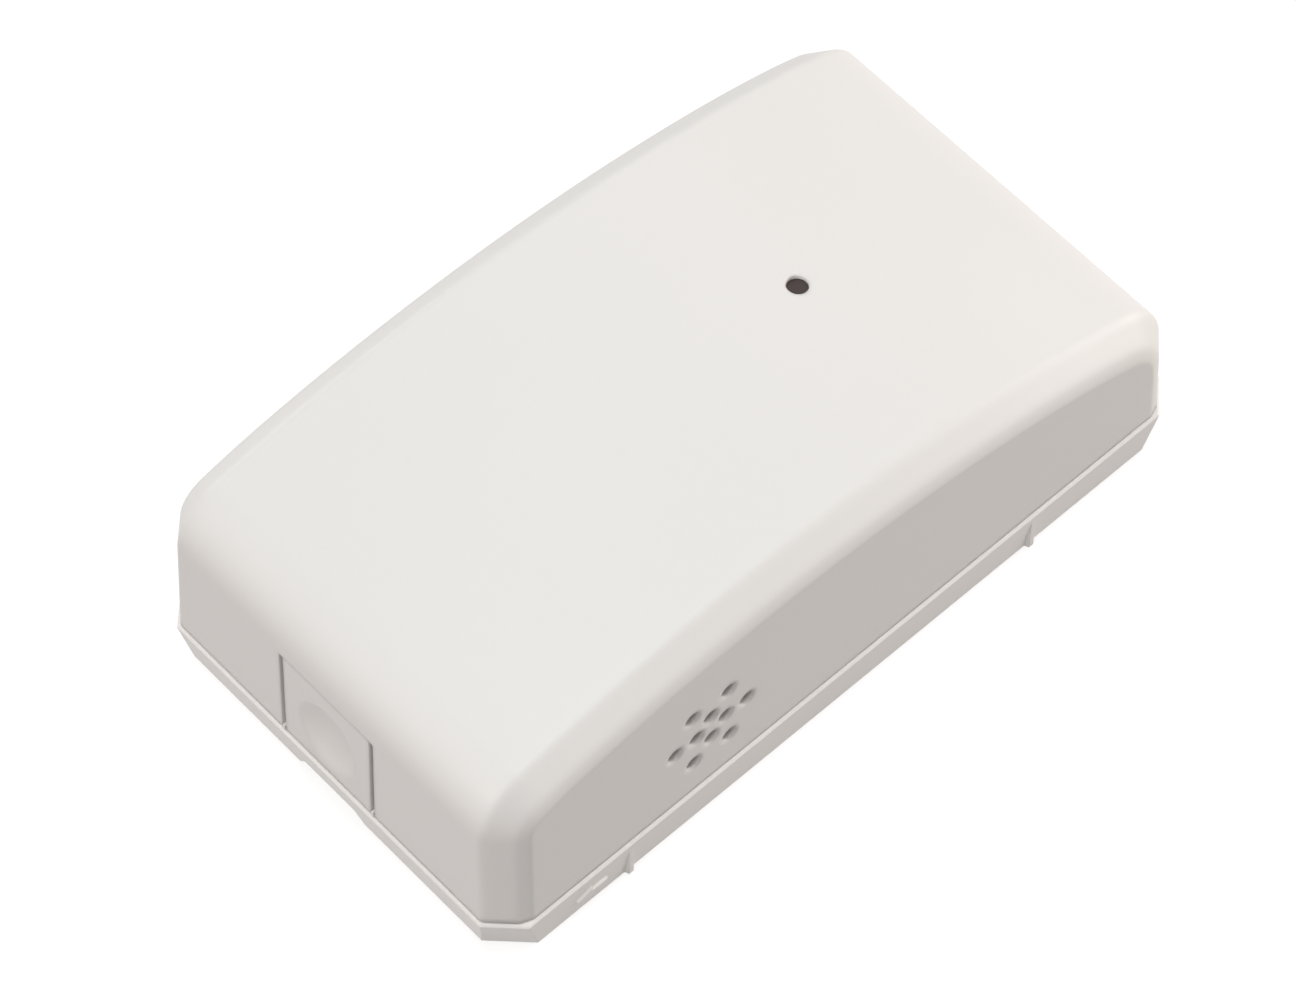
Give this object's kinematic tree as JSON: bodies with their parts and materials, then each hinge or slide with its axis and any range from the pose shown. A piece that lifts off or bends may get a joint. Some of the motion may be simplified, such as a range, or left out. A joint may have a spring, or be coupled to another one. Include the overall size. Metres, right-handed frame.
{
  "type": "smoke alarm sound detector",
  "caption": "Battery powered wall-mounted box with an arched hinged cover, sound holes and a status light, for hearing a smoke alarm's tone.",
  "frame": {"origin": "middle of the flat back face, which lies on the wall or table", "axes": "+X along the length, away from the end with the latch tab; -Y towards the side with the sound holes; +Z out of the back, through the cover"},
  "size_m": [0.0984, 0.0548, 0.0326],
  "materials": {
    "cover_plastic": "fine matte, white",
    "base_plastic": "fine matte, white",
    "mesh_cloth": "fine black weave",
    "clear_pipe": "clear, polished ends",
    "board_green": "green solder resist",
    "cell_sleeve": "plain sleeve with a metal button",
    "holder_plastic": "black moulding",
    "contact_metal": "nickel plated",
    "boot_rubber": "soft black",
    "capsule_metal": "drawn can",
    "led_resin": "milky case and clear lens",
    "switch_plastic": "black case",
    "stem_plastic": "light stem",
    "chip_resin": "black resin",
    "shield_metal": "tin plated",
    "wire_metal": "stiff plated wire",
    "crystal_metal": "drawn can",
    "capacitor_metal": "bright can",
    "resistor_body": "black film",
    "capacitor_body": "brown ceramic",
    "header_metal": "gold pins in a black strip",
    "jumper_plastic": "black cap",
    "screw_metal": "zinc plated"
  },
  "bodies": {
    "base": {"base_plate": "base_plastic", "circuit_board": "board_green", "battery_cell": "cell_sleeve", "battery_holder": "holder_plastic", "battery_contact_positive": "contact_metal", "battery_contact_negative": "contact_metal", "microphone_capsule": "capsule_metal", "microphone_boot": "boot_rubber", "indicator_led": "led_resin", "tamper_switch_body": "switch_plastic", "learn_switch_body": "switch_plastic", "microcontroller": "chip_resin", "radio_shield": "shield_metal", "antenna_wire": "wire_metal", "crystal": "crystal_metal", "electrolytic_capacitor": "capacitor_metal", "chip_resistors": "resistor_body", "chip_capacitors": "capacitor_body", "jumper_header": "header_metal", "jumper_cap": "jumper_plastic", "board_screws": "screw_metal"},
    "cover": {"front_cover": "cover_plastic", "dust_mesh": "mesh_cloth", "light_pipe": "clear_pipe"},
    "tamper_plunger": {"tamper_plunger": "stem_plastic"},
    "learn_button": {"learn_button": "stem_plastic"}
  },
  "joints": [
    {"name": "cover_swing", "type": "hinge", "parent": "base", "child": "cover", "pos_m": [0.0488, 0, 0.0066], "axis": [0, 1, 0], "range_deg": [0, 45]},
    {"name": "tamper_travel", "type": "slide", "parent": "base", "child": "tamper_plunger", "axis": [0, 0, 1], "range_m": [0, 0.001]},
    {"name": "learn_press", "type": "slide", "parent": "base", "child": "learn_button", "axis": [0, 0, -1], "range_m": [0, 0.0003], "stiffness_N_per_m": 600}
  ],
  "couplings": [
    {"joint": "tamper_travel", "follows": "cover_swing", "m_per_rad": 0.00127}
  ]
}
